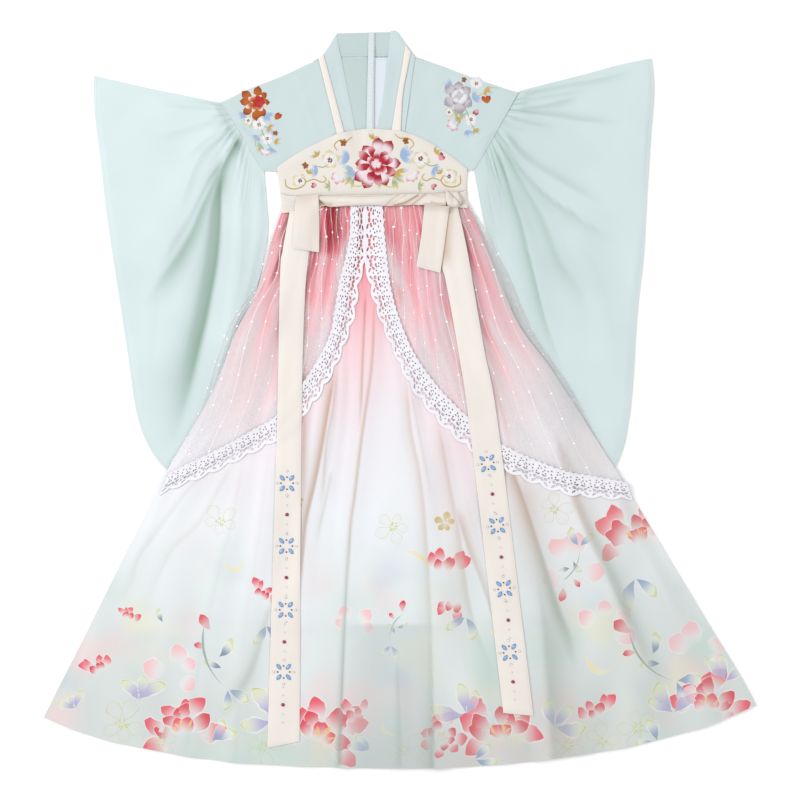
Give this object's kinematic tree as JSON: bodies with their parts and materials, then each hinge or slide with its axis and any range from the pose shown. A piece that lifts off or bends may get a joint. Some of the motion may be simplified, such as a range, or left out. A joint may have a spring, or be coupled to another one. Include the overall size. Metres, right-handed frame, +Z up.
{
  "type": "chest-high hanfu dress with wide sleeves, laid flat",
  "caption": "Child's long chest-high hanfu dress laid flat: wide mint sleeves, cream chest band and ties, rose skirt, sheer overskirt edged with lace.",
  "frame": {"origin": "centre of the garment's outline, on the surface it lies on", "axes": "+Y from the hem to the collar, +Z up out of the surface, +X across to the side on the viewer's right"},
  "size_m": [1.042, 1.078, 0.0237],
  "materials": {
    "mint_chiffon": "soft matt mint chiffon",
    "mint_inside": "mint chiffon, inside face",
    "white_lining": "plain white lining cloth",
    "zip_tape": "woven zip tape with moulded teeth",
    "cream_twill": "smooth cream satin-back twill",
    "cream_band": "stiff cream band with thread embroidery",
    "rose_chiffon": "chiffon dyed from rose through white to pale mint, printed with flowers",
    "sheer_organza": "sheer organza with fine stripes and small tufts",
    "white_lace": "white scalloped eyelet lace"
  },
  "bodies": {
    "root": {"sleeve_left": "mint_chiffon", "sleeve_right": "mint_chiffon", "bodice_front_left": "mint_chiffon", "bodice_front_right": "mint_chiffon", "collar_left": "mint_chiffon", "collar_right": "mint_chiffon", "bodice_back_left": "mint_inside", "bodice_back_right": "mint_inside", "collar_back": "mint_inside", "back_lining": "white_lining", "skirt_lining": "white_lining", "back_zip": "zip_tape", "strap_left": "cream_twill", "strap_right": "cream_twill", "waist_sash": "cream_twill", "sash_knot": "cream_twill", "tail_left": "cream_twill", "tail_right": "cream_twill", "tie_left": "cream_twill", "tie_right": "cream_twill", "chest_band_front": "cream_band", "chest_band_back": "cream_band", "waistband_front": "cream_band", "skirt_front": "rose_chiffon", "skirt_back": "rose_chiffon", "overskirt_left": "sheer_organza", "overskirt_right": "sheer_organza", "overskirt_back": "sheer_organza", "lace_left": "white_lace", "lace_right": "white_lace"}
  },
  "joints": []
}
